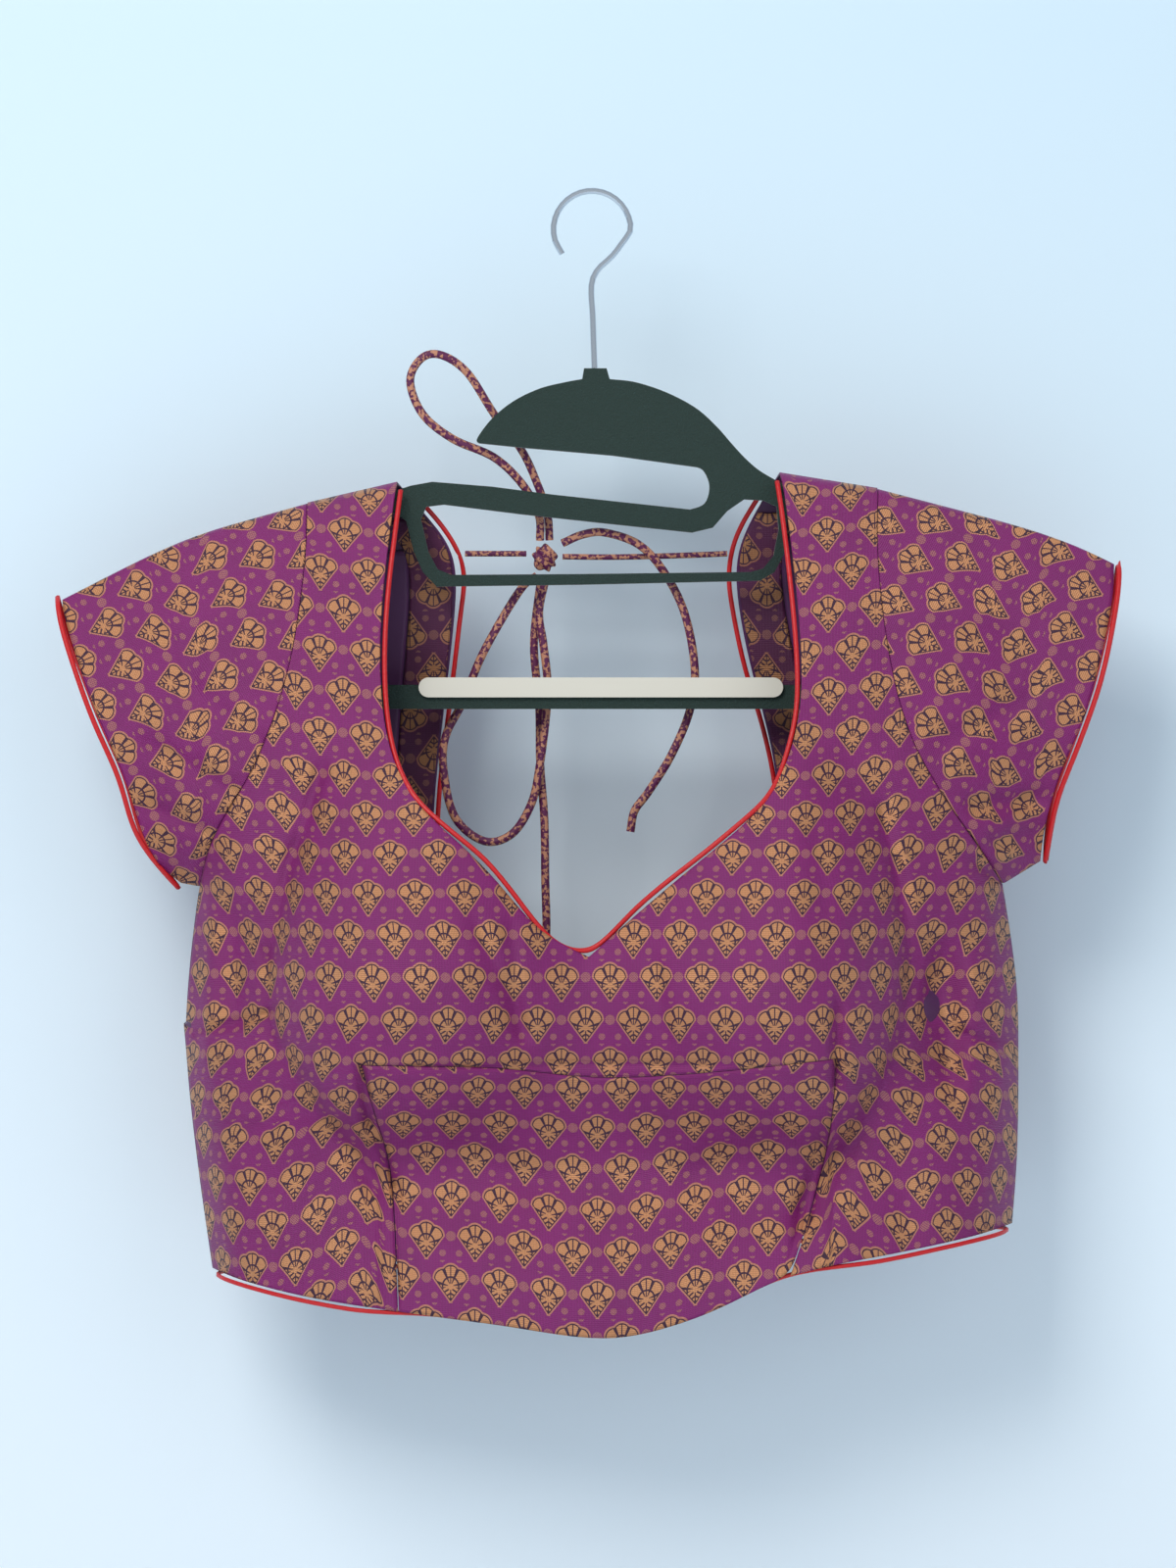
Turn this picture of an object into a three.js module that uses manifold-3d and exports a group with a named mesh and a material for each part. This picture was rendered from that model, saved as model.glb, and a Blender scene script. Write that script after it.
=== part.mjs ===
// Choli blouse on a flocked hanger.
// Millimetres, +Z up, the front faces -Y, the origin is the inner top of the hook.
import * as THREE from 'three';
import { mergeVertices } from 'three/addons/utils/BufferGeometryUtils.js';
import Module from 'manifold-3d';

// ---------------------------------------------------------------- driving dimensions
const WALL = 1.4; // lined brocade
const SEAM = 0.3; // gap between neighbouring pieces
const FACING = 1.0; // facing and lining cloth
const FACING_WIDTH = 22;
const PIPING_RADIUS = 1.3;
const HEM_PIPING_RADIUS = 1.1;
const CORD_RADIUS = 2;
const TAUT_RADIUS = 1.4;

const FRONT_DEPTH = 50; // chest depth in front of the hanger
const BACK_DEPTH = 32;
const RIDGE = 5.2; // half thickness of the cloth folded over the hanger arm
const RIDGE_ROUND = 0.5; // how soon below the shoulder line the ridge is reached
const SLOPE_LENGTH = 90; // how soon below the shoulder line the full depth is reached
const CUFF_DEPTH = 19; // half opening of a cuff

const PLATE = 5; // hanger thickness
const WIRE_RADIUS = 1.5;
const HOOK_RADIUS = 18.5;
const HOOK_CENTRE = -(HOOK_RADIUS - WIRE_RADIUS);

// ---------------------------------------------------------------- outlines, x and z
// The neckline runs from the point of the V up to the shoulder.
const NECK_LEFT = [
  [-1.5, -364], [-14, -362], [-22, -356.5], [-35, -339.5], [-53, -318], [-76, -299.5],
  [-88, -286], [-97, -264.5], [-100.5, -234.5], [-100, -200], [-96.5, -164], [-93.5, -138],
];
const NECK_RIGHT = [
  [-1.5, -364], [7.5, -358], [25, -339.5], [52, -318], [76.5, -297.5], [89, -283],
  [98.5, -252], [99.5, -225], [96.5, -185], [92, -144], [90, -133.5],
];
// The back neck runs from its low point up to the shoulder, past the corner that holds the tie.
const BACK_NECK_LEFT = [
  [0, -431], [-34, -424], [-62, -398], [-76, -355], [-77.5, -301], [-74, -265],
  [-69, -225], [-65, -190], [-64.5, -173], [-72, -163], [-81.5, -151.5], [-93.5, -138],
];
const BACK_NECK_RIGHT = [
  [0, -431], [34, -426], [66, -402], [86, -355], [92, -300], [88, -265],
  [77, -228], [70, -195], [68.2, -173], [71.5, -164.5], [81, -148], [90, -133.5],
];
// The armhole runs from the underarm up to the shoulder.
const ARMHOLE_LEFT = [
  [-188.5, -332], [-180.5, -307], [-161, -276.5], [-144.5, -231], [-137, -180], [-136.5, -148],
];
const ARMHOLE_RIGHT = [
  [197, -331], [188, -318], [172, -297], [151, -261.5], [140.5, -220], [136, -175], [137, -141],
];
// The cuff runs from the underarm up to the end of the shoulder line.
const CUFF_LEFT = [
  [-197, -330.5], [-207, -323.5], [-216, -303], [-220, -287], [-229.5, -264], [-239, -242.5],
  [-252, -204], [-253.5, -194],
];
const CUFF_RIGHT = [
  [215, -320], [215.5, -307], [217.5, -298], [223.5, -276.5], [234.5, -252], [240.5, -230.5],
  [248.5, -195], [250, -177],
];
const SHOULDER_LEFT = [[-93.5, -138], [-115, -141.5], [-136.5, -148], [-181.5, -160.5], [-198, -165.5], [-253.5, -194]];
const SHOULDER_RIGHT = [[90, -133.5], [109.5, -137], [137, -141], [204, -158.5], [227, -165.5], [250, -177]];

// The front below the chest: vertical ribs, each with its place at five levels.
const LEVELS = ['chest', 'bust', 'seam', 'waist', 'hem'];
const FRONT_RIBS = [
  { chest: [-188.5, -332], bust: [-193.5, -376], seam: [-194.5, -412], waist: [-189.5, -462], hem: [-182, -515] },
  { chest: [-148, -339], bust: [-151, -380], seam: [-150, -414], waist: [-142, -468], hem: [-137, -524.5] },
  { chest: [-107.5, -346], bust: [-107.5, -382], seam: [-107.5, -414], waist: [-95, -466], hem: [-91, -531] },
  { chest: [-54, -355], bust: [-50, -390], seam: [-46, -415.5], waist: [-44, -474], hem: [-43, -537] },
  { chest: [-1.5, -364], bust: [0, -395], seam: [3, -421], waist: [5, -478], hem: [8.5, -543.5] },
  { chest: [50, -355.5], bust: [52, -390], seam: [55, -417.5], waist: [50, -472], hem: [52, -532.5] },
  { chest: [113, -345], bust: [113.5, -381], seam: [114, -411], waist: [109, -464], hem: [93, -514] },
  { chest: [157, -337.5], bust: [160, -379], seam: [160, -411], waist: [155, -460], hem: [147, -503.5] },
  { chest: [197, -331], bust: [203.5, -376], seam: [204.5, -411], waist: [204, -458], hem: [201.5, -493.5] },
];
const LEFT_DART = 2;
const RIGHT_DART = 6;
const CENTRE_RIB = 4;
const BACK_RIBS = [
  { chest: [-188.5, -332], waist: [-194.5, -412], hem: [-182, -515] },
  { chest: [-92, -383], waist: [-92, -440], hem: [-90, -515] },
  { chest: [0, -431], waist: [1, -465], hem: [8, -511] },
  { chest: [97, -382], waist: [100, -436], hem: [100, -503] },
  { chest: [197, -331], waist: [204.5, -411], hem: [201.5, -493.5] },
];

// Side outline of the body by height. Above the underarm it only shapes the chest's curve.
const SIDES = [
  { z: -545, left: -181, right: 201 },
  { z: -515, left: -182, right: 201.5 },
  { z: -462, left: -189.5, right: 204 },
  { z: -412, left: -194.5, right: 204.5 },
  { z: -376, left: -193.5, right: 203.5 },
  { z: -332, left: -188.5, right: 197 },
  { z: -230, left: -199, right: 206 },
  { z: -130, left: -215, right: 222 },
];

// Moulded bust cups: centre, height, and reach to the outside, middle, top and bottom.
const CUPS = [
  { x: -94, z: -376, height: 36, outer: 60, inner: 108, up: 120, down: 82, side: -1 },
  { x: 93, z: -378, height: 36, outer: 58, inner: 108, up: 120, down: 84, side: 1 },
];
// The largest folds of the front: centre line from top to bottom, half width and depth.
const FOLDS = [
  { name: 'right side valley', x: 165, lean: 4, top: -345, bottom: -440, half: 13, depth: 13 },
  { name: 'left side valley', x: -170, lean: -4, top: -325, bottom: -405, half: 14, depth: 8 },
  { name: 'valley under the V', x: -38, lean: 18, top: -355, bottom: -412, half: 9, depth: 4 },
];
const HOLLOW = { z: -467, half: 30, depth: 15, reach: 135 }; // the midriff falls in under the bust

// Rows of the straps, from the chest row up to the shoulder, close together at the ridge.
const STRAP_ROWS = [0, 0.1, 0.2, 0.3, 0.4, 0.5, 0.6, 0.7, 0.79, 0.87, 0.93, 0.97, 0.993, 1];

// ---------------------------------------------------------------- small helpers
const clamp = (v, low, high) => Math.min(high, Math.max(low, v));
const mix = (a, b, t) => a + (b - a) * t;
const ease = (low, high, v) => {
  const t = clamp((v - low) / (high - low), 0, 1);
  return t * t * (3 - 2 * t);
};
const range = (count) => Array.from({ length: count }, (_, i) => i);
const spline = (points) => new THREE.SplineCurve(points.map(([x, z]) => new THREE.Vector2(x, z)));

// A value from a table of rows sorted by one column.
function lookUp(rows, key, value, wanted) {
  const last = rows.length - 1;
  if (value <= rows[0][key]) return rows[0][wanted];
  if (value >= rows[last][key]) return rows[last][wanted];
  const i = rows.findIndex((row) => row[key] > value) - 1;
  const share = (value - rows[i][key]) / (rows[i + 1][key] - rows[i][key]);
  return mix(rows[i][wanted], rows[i + 1][wanted], share);
}

// ---------------------------------------------------------------- depth of the front and back
const SHOULDER_TABLE = [...[...SHOULDER_LEFT].reverse(), ...SHOULDER_RIGHT].map(([x, z]) => ({ x, z }));
const shoulderZ = (x) => lookUp(SHOULDER_TABLE, 'x', x, 'z');

// 1 at the middle of the body and 0 at its sides, falling off steeply there.
function sideShare(x, z) {
  const left = lookUp(SIDES, 'z', z, 'left');
  const right = lookUp(SIDES, 'z', z, 'right');
  const middle = (left + right) / 2;
  const u = Math.abs(x - middle) / ((right - left) / 2);
  return Math.sqrt(Math.max(0, 1 - u ** 3));
}

function cupHeight(cup, x, z) {
  const dx = (x - cup.x) * cup.side;
  const dz = z - cup.z;
  const r2 = (dx / (dx > 0 ? cup.outer : cup.inner)) ** 2 + (dz / (dz > 0 ? cup.up : cup.down)) ** 2;
  if (r2 >= 1) return 0;
  const firm = ease(-0.35, 0.6, (dx / cup.outer - dz / cup.down) / 2);
  return cup.height * mix((1 - r2) ** 1.6, (1 - r2) ** 0.75, firm);
}

function foldDepth(fold, x, z) {
  const share = (fold.top - z) / (fold.top - fold.bottom);
  const across = (x - fold.x - fold.lean * (share - 0.5)) / fold.half;
  const along = ease(0, 0.3, share) * (1 - ease(0.7, 1, share));
  return fold.depth * Math.exp(-across * across) * along;
}

function frontDepth(x, z) {
  const below = Math.max(0, shoulderZ(x) - z);
  const chest = FRONT_DEPTH * (1 - Math.exp(-below / SLOPE_LENGTH));
  const ridge = RIDGE * (1 - Math.exp(-below / RIDGE_ROUND));
  const cups = CUPS.reduce((sum, cup) => sum + cupHeight(cup, x, z), 0);
  const folds = FOLDS.reduce((sum, fold) => sum + foldDepth(fold, x, z), 0);
  const hollow = HOLLOW.depth * Math.exp(-(((z - HOLLOW.z) / HOLLOW.half) ** 2))
    * Math.exp(-((x / HOLLOW.reach) ** 4));
  const share = sideShare(x, z);
  return ridge * share ** 0.3 + chest * share + cups - folds - hollow;
}

function backDepth(x, z) {
  const below = Math.max(0, shoulderZ(x) - z);
  const full = BACK_DEPTH * (1 - Math.exp(-below / SLOPE_LENGTH));
  const ridge = RIDGE * (1 - Math.exp(-below / RIDGE_ROUND));
  const share = sideShare(x, z);
  return ridge * share ** 0.3 + full * share;
}

// A point of a sheet with its outward normal. side is -1 for the front and 1 for the back.
function onSheet(x, z, side, onSeam = false) {
  const depth = side < 0 ? frontDepth : backDepth;
  const step = 0.4;
  const slopeX = (depth(x + step, z) - depth(x - step, z)) / (2 * step);
  const slopeZ = (depth(x, z + step) - depth(x, z - step)) / (2 * step);
  const normal = new THREE.Vector3(-slopeX, side, -slopeZ).normalize();
  const point = new THREE.Vector3(x, side * depth(x, z), z);
  if (onSeam) {
    point.y = side * SEAM / 2;
    normal.y = 0;
    normal.normalize();
  }
  return { point, normal };
}

// ---------------------------------------------------------------- cloth as a closed wall
// Sheets are patches of points with normals. Equal points are shared, so patches join up.
class Sheet {
  constructor() {
    this.vertices = [];
    this.faces = [];
    this.index = new Map();
  }

  add({ point, normal }) {
    const key = point.toArray().map((v) => Math.round(v * 1000)).join();
    if (!this.index.has(key)) {
      this.index.set(key, this.vertices.length);
      this.vertices.push({ point, normal });
    }
    return this.index.get(key);
  }

  // How far a triangle faces along its corners' normals.
  facing([a, b, c]) {
    const [p, q, r] = [a, b, c].map((i) => this.vertices[i].point);
    const across = q.clone().sub(p).cross(r.clone().sub(p));
    return [a, b, c].reduce((sum, i) => sum + across.dot(this.vertices[i].normal), 0);
  }

  patch(rows, columns, at) {
    const grid = rows.map((r) => columns.map((c) => this.add(at(r, c))));
    const made = [];
    for (let i = 0; i + 1 < rows.length; i += 1) {
      for (let j = 0; j + 1 < columns.length; j += 1) {
        made.push([grid[i][j], grid[i + 1][j], grid[i + 1][j + 1]]);
        made.push([grid[i][j], grid[i + 1][j + 1], grid[i][j + 1]]);
      }
    }
    const whole = made.filter(([a, b, c]) => a !== b && b !== c && c !== a);
    const outward = whole.reduce((sum, face) => sum + this.facing(face), 0) > 0;
    this.faces.push(...whole.map(([a, b, c]) => (outward ? [a, b, c] : [a, c, b])));
    return this;
  }

  // The sheet is the outer face. The inner one lies a wall's thickness behind it.
  wall(thickness = WALL, out = 0) {
    const count = this.vertices.length;
    const places = [];
    for (const layer of [out, out - thickness]) {
      for (const { point, normal } of this.vertices) {
        places.push(...point.clone().addScaledVector(normal, layer).toArray());
      }
    }
    const index = [];
    const edges = new Set(this.faces.flatMap(([a, b, c]) => [`${a},${b}`, `${b},${c}`, `${c},${a}`]));
    for (const [a, b, c] of this.faces) {
      index.push(a, b, c, a + count, c + count, b + count);
      for (const [from, to] of [[a, b], [b, c], [c, a]]) {
        if (!edges.has(`${to},${from}`)) {
          index.push(to, from, from + count, to, from + count, to + count);
        }
      }
    }
    const geometry = new THREE.BufferGeometry();
    geometry.setAttribute('position', new THREE.Float32BufferAttribute(places, 3));
    geometry.setIndex(index);
    return geometry;
  }
}

// ---------------------------------------------------------------- nets of ribs and strap rows
// The place on a table of ribs: rib and level are whole numbers at the table's own points.
function onRibs(ribs, levels, rib, level) {
  const column = levels.map((name) => {
    const row = spline(ribs.map((r) => r[name]));
    const at = row.getPoint(clamp(rib / (ribs.length - 1), 0, 1));
    return [at.x, at.y];
  });
  return spline(column).getPoint(clamp(level / (levels.length - 1), 0, 1));
}

// A strap lies between an armhole and a neckline, on top of the chest row of the ribs.
function strapPoint({ armhole, neck, chest }, row, rib) {
  const start = chest(chest.armRib);
  const end = chest(chest.neckRib);
  const here = chest(rib);
  const share = here.distanceTo(start) / end.distanceTo(start);
  const outer = armhole.getPointAt(row);
  const inner = neck.getPointAt(row);
  const straight = start.clone().lerp(end, share);
  const drift = here.clone().sub(straight).multiplyScalar((1 - row) ** 2);
  return { at: outer.clone().lerp(inner, share).add(drift), outer, inner };
}

function chestRow(ribs, levels, armRib, neckRib) {
  const chest = (rib) => onRibs(ribs, levels, rib, 0);
  chest.armRib = armRib;
  chest.neckRib = neckRib;
  return chest;
}

// Moves a point that lies on an armhole or neck edge in by half a seam gap.
function inset(at, towards, distance = SEAM / 2) {
  return at.clone().add(towards.clone().sub(at).setLength(distance));
}

const steps = (from, to, count) => range(count + 1).map((i) => mix(from, to, i / count));

// Cuts and curves of the body, left then right.
const ARMHOLES = [spline(ARMHOLE_LEFT), spline(ARMHOLE_RIGHT)];
const CUFFS = [spline(CUFF_LEFT), spline(CUFF_RIGHT)];
const NECKS = [spline(NECK_LEFT), spline(NECK_RIGHT)];
const BACK_NECKS = [spline(BACK_NECK_LEFT), spline(BACK_NECK_RIGHT)];
const BACK_LEVELS = ['chest', 'waist', 'hem'];

function addStrap(sheet, side, { armhole, neck, chest, ribs }) {
  sheet.patch(STRAP_ROWS, ribs, (row, rib) => {
    const { at, outer, inner } = strapPoint({ armhole, neck, chest }, row, rib);
    const onArmhole = rib === chest.armRib;
    const place = onArmhole ? inset(at, inner) : at;
    return onSheet(place.x, place.y, side, row === 1 || (onArmhole && row === 0));
  });
}

// ---------------------------------------------------------------- front
function frontBodice() {
  const sheet = new Sheet();
  const last = FRONT_RIBS.length - 1;
  const perRib = 3;
  range(2).forEach((i) => {
    const chest = chestRow(FRONT_RIBS, LEVELS, i ? last : 0, CENTRE_RIB);
    const ribs = steps(i ? last : 0, CENTRE_RIB, CENTRE_RIB * perRib);
    addStrap(sheet, -1, { armhole: ARMHOLES[i], neck: NECKS[i], chest, ribs });
  });
  const below = (levels, from, to) => {
    sheet.patch(levels, steps(from, to, (to - from) * perRib), (level, rib) => {
      let at = onRibs(FRONT_RIBS, LEVELS, rib, level);
      if (level === 0 && (rib === 0 || rib === last)) at = inset(at, onRibs(FRONT_RIBS, LEVELS, CENTRE_RIB, 0));
      if (level > 2 && rib === LEFT_DART) at.x -= SEAM;
      if (level > 2 && rib === RIGHT_DART) at.x += SEAM;
      if (level === 2 && rib >= LEFT_DART && rib <= RIGHT_DART) at.y += SEAM / 2;
      return onSheet(at.x, at.y, -1, rib === 0 || rib === last);
    });
  };
  below(steps(0, 2, 5), 0, last);
  below(steps(2, 4, 7), 0, LEFT_DART);
  below(steps(2, 4, 7), RIGHT_DART, last);
  return sheet;
}

function frontMidriff() {
  const sheet = new Sheet();
  sheet.patch(steps(2, 4, 7), steps(LEFT_DART, RIGHT_DART, 12), (level, rib) => {
    const at = onRibs(FRONT_RIBS, LEVELS, rib, level);
    if (rib === LEFT_DART) at.x += SEAM / 2;
    if (rib === RIGHT_DART) at.x -= SEAM / 2;
    if (level === 2) at.y -= SEAM / 2;
    return onSheet(at.x, at.y, -1);
  });
  return sheet.wall();
}

// ---------------------------------------------------------------- back
const LAP = 7; // half width of the centre back overlap
const LAP_RISE = WALL + SEAM;

// The right half laps over the left one, so its edge stands further out.
function backPoint(x, z, onSeam, lapped) {
  const found = onSheet(x, z, 1, onSeam);
  if (lapped) found.point.y += LAP_RISE * (1 - ease(LAP * 4, LAP * 8, x));
  return found;
}

function backHalf(i) {
  const sheet = new Sheet();
  const last = BACK_RIBS.length - 1;
  const middle = last / 2;
  const chest = chestRow(BACK_RIBS, BACK_LEVELS, i ? last : 0, middle);
  const ribs = steps(i ? last : 0, middle, 8);
  const shift = (at, rib) => {
    const share = ease(0.6, 1, 1 - Math.abs(rib - middle) / middle);
    at.x += (i ? -LAP : LAP) * share;
    return at;
  };
  const lapped = i === 1;
  sheet.patch(STRAP_ROWS, ribs, (row, rib) => {
    const { at, inner } = strapPoint({ armhole: ARMHOLES[i], neck: BACK_NECKS[i], chest }, row, rib);
    const onArmhole = rib === chest.armRib;
    const place = row === 0 ? shift(at, rib) : at;
    const moved = onArmhole ? inset(place, inner) : place;
    return backPoint(moved.x, moved.y, row === 1 || (onArmhole && row === 0), lapped);
  });
  sheet.patch(steps(0, 2, 7), ribs, (level, rib) => {
    let at = onRibs(BACK_RIBS, BACK_LEVELS, rib, level);
    if (level === 0 && rib === chest.armRib) at = inset(at, onRibs(BACK_RIBS, BACK_LEVELS, middle, 0));
    at = shift(at, rib);
    return backPoint(at.x, at.y, rib === chest.armRib, lapped);
  });
  return sheet;
}

// ---------------------------------------------------------------- sleeves
// A loop around the sleeve: the front from the underarm up, then the back down again.
const FRONT_LOOP = STRAP_ROWS.map((row) => ({ row, side: -1 }));
const BACK_LOOP = STRAP_ROWS.slice(1, -1).reverse().map((row) => ({ row, side: 1 }));
const SLEEVE_LOOP = [...FRONT_LOOP, ...BACK_LOOP];
const SLEEVE_STATIONS = [0, 0.08, 0.25, 0.45, 0.65, 0.85, 1];

function sleevePlace(i, station, { row, side }) {
  const outer = ARMHOLES[i].getPointAt(row);
  const cuff = CUFFS[i].getPointAt(row);
  const start = inset(outer, cuff, mix(2.5 * SEAM, SEAM / 2, ease(0, 0.3, row)));
  const at = start.clone().lerp(cuff, station);
  const top = ARMHOLES[i].getPointAt(1).lerp(CUFFS[i].getPointAt(1), station);
  at.y += (shoulderZ(top.x) - top.y) * row ** 4;
  if (row === 0 || row === 1) return new THREE.Vector3(at.x, 0, at.y);
  const depth = side < 0 ? frontDepth : backDepth;
  const cuffDepth = CUFF_DEPTH * Math.sin(Math.PI * row) ** 0.6;
  const y = mix(depth(start.x, start.y), Math.max(cuffDepth, RIDGE), ease(0, 1, station));
  return new THREE.Vector3(at.x, side * y, at.y);
}

function sleeve(i) {
  const sheet = new Sheet();
  const loop = SLEEVE_LOOP.length;
  const grid = SLEEVE_STATIONS.map((s) => SLEEVE_LOOP.map((place) => sleevePlace(i, s, place)));
  const middle = new THREE.Vector3(i ? 205 : -205, 0, -250);
  const normalAt = (a, b) => {
    const { row, side } = SLEEVE_LOOP[b];
    if (a === 0) {
      const at = ARMHOLES[i].getPointAt(row);
      return onSheet(at.x, at.y, side, row === 0 || row === 1).normal;
    }
    const along = grid[Math.min(a + 1, grid.length - 1)][b].clone().sub(grid[a - 1][b]);
    const around = grid[a][(b + 1) % loop].clone().sub(grid[a][(b + loop - 1) % loop]);
    const normal = along.cross(around).normalize();
    return normal.dot(grid[a][b].clone().sub(middle)) < 0 ? normal.negate() : normal;
  };
  sheet.patch(range(grid.length), range(loop + 1), (a, b) => ({
    point: grid[a][b % loop],
    normal: normalAt(a, b % loop),
  }));
  return sheet;
}

// ---------------------------------------------------------------- facing and lining of the back
const INSIDE = -(WALL + SEAM);
const FACING_ROWS = [0.3, 0.4, 0.5, 0.6, 0.7, 0.8, 0.88, 0.94];
const LINING_ROWS = FACING_ROWS.slice(0, -1);

function backInside(i, row, share) {
  const outer = ARMHOLES[i].getPointAt(row);
  const inner = BACK_NECKS[i].getPointAt(row);
  const width = outer.distanceTo(inner);
  const at = inner.clone().lerp(outer, share.distance / width + share.rest * (1 - share.distance / width));
  return backPoint(at.x, at.y, false, false);
}

function backFacing(i) {
  const sheet = new Sheet();
  const columns = [4 * SEAM, FACING_WIDTH / 2, FACING_WIDTH];
  sheet.patch(FACING_ROWS, columns, (row, distance) => backInside(i, row, { distance, rest: 0 }));
  return sheet.wall(FACING, INSIDE);
}

function backLining(i) {
  const sheet = new Sheet();
  sheet.patch(LINING_ROWS, [0, 0.33, 0.66, 0.97], (row, rest) => (
    backInside(i, row, { distance: FACING_WIDTH + 2 * SEAM, rest })
  ));
  return sheet.wall(FACING, INSIDE);
}

// ---------------------------------------------------------------- piping
function tube(points, radius, count, sides = 8) {
  const path = new THREE.CatmullRomCurve3(points, false, 'centripetal');
  const round = new THREE.Shape();
  range(sides).forEach((k) => {
    const angle = (2 * Math.PI * (k + 0.5)) / sides;
    const place = [radius * Math.cos(angle), radius * Math.sin(angle)];
    if (k === 0) round.moveTo(...place);
    else round.lineTo(...place);
  });
  return new THREE.ExtrudeGeometry(round, { steps: count, extrudePath: path, curveSegments: sides });
}

function ring(points, radius, count, sides = 6) {
  const path = new THREE.CatmullRomCurve3(points, true, 'centripetal');
  return new THREE.TubeGeometry(path, count, radius, sides, true);
}

// Beside the mid thickness of an edge, away from the cloth.
function besideEdge(edge, behind, radius, wall = WALL) {
  const out = edge.point.clone().sub(behind.point);
  out.addScaledVector(edge.normal, -out.dot(edge.normal)).setLength(radius + 4 * SEAM);
  return edge.point.clone().addScaledVector(edge.normal, -wall / 2).add(out);
}

// Square to a curve in x and z, on the side that faces away from a given point.
function awayFrom(curve, row, point) {
  const along = curve.getTangentAt(row);
  const square = new THREE.Vector2(along.y, -along.x);
  return square.dot(curve.getPointAt(row).sub(point)) < 0 ? square.negate() : square;
}

function neckEdge(neck, armhole, row, side) {
  const at = neck.getPointAt(row);
  const inward = at.clone().addScaledVector(awayFrom(neck, row, armhole.getPointAt(row)), -2);
  return besideEdge(onSheet(at.x, at.y, side), onSheet(inward.x, inward.y, side), PIPING_RADIUS);
}

function frontNeckPiping() {
  const rows = [0.05, 0.11, 0.18, 0.26, 0.34, 0.42, 0.5, 0.58, 0.66, 0.74, 0.82, 0.89, 0.95, 0.985];
  const half = (i) => rows.map((row) => neckEdge(NECKS[i], ARMHOLES[i], row, -1));
  const tip = onSheet(NECK_LEFT[0][0], NECK_LEFT[0][1], -1);
  const below = onSheet(NECK_LEFT[0][0], NECK_LEFT[0][1] - 2, -1);
  const point = besideEdge(tip, below, PIPING_RADIUS);
  return tube([...half(0).reverse(), point, ...half(1)], PIPING_RADIUS, 56);
}

function backNeckPiping(i) {
  const rows = [0.09, 0.17, 0.26, 0.36, 0.46, 0.55, 0.64, 0.72, 0.79, 0.85, 0.9, 0.95, 0.98];
  const points = rows.map((row) => neckEdge(BACK_NECKS[i], ARMHOLES[i], row, 1));
  return tube(points, PIPING_RADIUS, 30);
}

function cuffPiping(i) {
  const points = SLEEVE_LOOP.filter((_, k) => k % 2 === 0).map((place) => {
    const edge = sleevePlace(i, 1, place);
    const out = awayFrom(CUFFS[i], place.row, ARMHOLES[i].getPointAt(1)).setLength(PIPING_RADIUS + 4 * SEAM);
    return edge.add(new THREE.Vector3(out.x, 0, out.y));
  });
  return ring(points, PIPING_RADIUS, 34);
}

// The hem's edge all round: the front from left to right, then the back again.
function hemPiping() {
  const drop = HEM_PIPING_RADIUS + 4 * SEAM;
  const front = steps(0.12, 7.88, 20).map((rib) => {
    const at = onRibs(FRONT_RIBS, LEVELS, rib, 4);
    const { point, normal } = onSheet(at.x, at.y, -1);
    const tucked = ease(1.6, 2.4, rib) * (1 - ease(6, 6.7, rib));
    const depth = mix(WALL / 2, WALL + HEM_PIPING_RADIUS + 4 * SEAM, tucked);
    point.addScaledVector(normal, -depth);
    point.z += mix(-drop, 1, tucked);
    return point;
  });
  const back = steps(3.9, 0.1, 12).map((rib) => {
    const at = onRibs(BACK_RIBS, BACK_LEVELS, rib, 2);
    const { point, normal } = onSheet(at.x, at.y, 1);
    point.addScaledVector(normal, -WALL / 2);
    point.z -= drop;
    return point;
  });
  return ring([...front, ...back], HEM_PIPING_RADIUS, 64);
}

// ---------------------------------------------------------------- tie cords, x, y, z by hand
const ROUTES = {
  tie_taut_left: [[-61.2, 12, -172], [-45, 12.5, -172], [-31.6, 13, -172]],
  tie_taut_right: [[65.2, 12, -172], [45, 12.5, -172.8], [12, 13, -173.6], [-14.2, 13, -173.4]],
  tie_upper_loop: [
    [-25, 11, -165.5], [-25.5, 8, -154], [-33, 7, -139.5], [-47, 7, -126], [-67, 7, -117], [-81.5, 8, -105],
    [-87.5, 9, -89], [-82, 10, -78], [-72.5, 10, -76.5], [-60, 10, -85], [-47, 11, -105], [-34, 11.5, -122],
    [-26.5, 12, -138], [-21.5, 12.5, -153], [-20.5, 13.5, -165.5],
  ],
  tie_lower_loop: [
    [-26.5, 13.5, -182.5], [-35, 13, -190], [-52, 12, -219], [-62, 12, -243], [-70.5, 12, -260], [-71.5, 12, -276.5],
    [-66, 12, -299], [-52, 12, -310.5], [-38.5, 12, -307], [-29, 12, -292], [-25, 12, -273], [-22, 12, -249],
    [-21.5, 12, -233], [-23.5, 12, -215], [-25.5, 12.5, -200], [-22, 13.5, -182.5],
  ],
  tie_right_tail: [
    [-14.2, 10.5, -167], [-4.5, 8.5, -163], [6, 8, -162], [22, 8, -167.5], [34, 8, -180], [44.5, 10, -200.5],
    [49.5, 10, -227.5], [47, 10, -248], [38, 10, -269.5], [27, 10, -287], [20.5, 10, -296], [18.5, 10, -306],
  ],
  tie_long_tail: [
    [-24.5, 17.5, -182.5], [-28, 18, -215], [-25.5, 18, -245], [-25, 17, -273], [-23, 16, -300], [-22.5, 14, -330],
    [-22, 12, -356], [-24, 11, -392],
  ],
};
const CORD_STEPS = {
  tie_taut_left: 2,
  tie_taut_right: 4,
  tie_upper_loop: 22,
  tie_lower_loop: 26,
  tie_right_tail: 16,
  tie_long_tail: 16,
};
const vectors = (points) => points.map(([x, y, z]) => new THREE.Vector3(x, y, z));

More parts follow.
